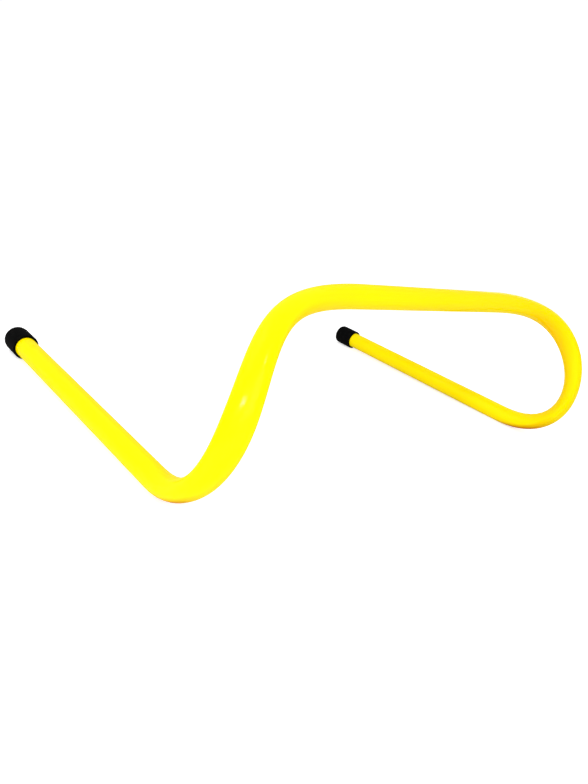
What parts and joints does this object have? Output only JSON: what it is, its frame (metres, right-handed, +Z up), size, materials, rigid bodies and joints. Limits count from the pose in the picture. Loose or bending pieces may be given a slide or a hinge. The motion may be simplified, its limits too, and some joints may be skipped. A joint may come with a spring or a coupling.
{
  "type": "speed hurdle",
  "caption": "Low free-standing training hurdle bent from a length of yellow plastic tube: crossbar, curved legs and long feet, each foot closed by a black push-on cap.",
  "frame": {"origin": "on the ground, under the middle of the hurdle's box", "axes": "+X along the crossbar, +Y back along the feet towards their caps, +Z up"},
  "size_m": [0.4676, 0.321, 0.15],
  "materials": {
    "yellow_tube": "smooth extruded plastic tube, bright yellow, semi-gloss",
    "black_vinyl": "soft dipped vinyl, black, satin"
  },
  "bodies": {
    "hurdle": {"hurdle_tube": "yellow_tube"},
    "left_cap": {"left_end_cap": "black_vinyl"},
    "right_cap": {"right_end_cap": "black_vinyl"}
  },
  "joints": [
    {"name": "left_cap_pull", "type": "slide", "parent": "hurdle", "child": "left_cap", "axis": [0.0311, 0.9995, 0.0097], "range_m": [0, 0.03]},
    {"name": "right_cap_pull", "type": "slide", "parent": "hurdle", "child": "right_cap", "axis": [-0.0311, 0.9995, 0.0097], "range_m": [0, 0.03]}
  ]
}
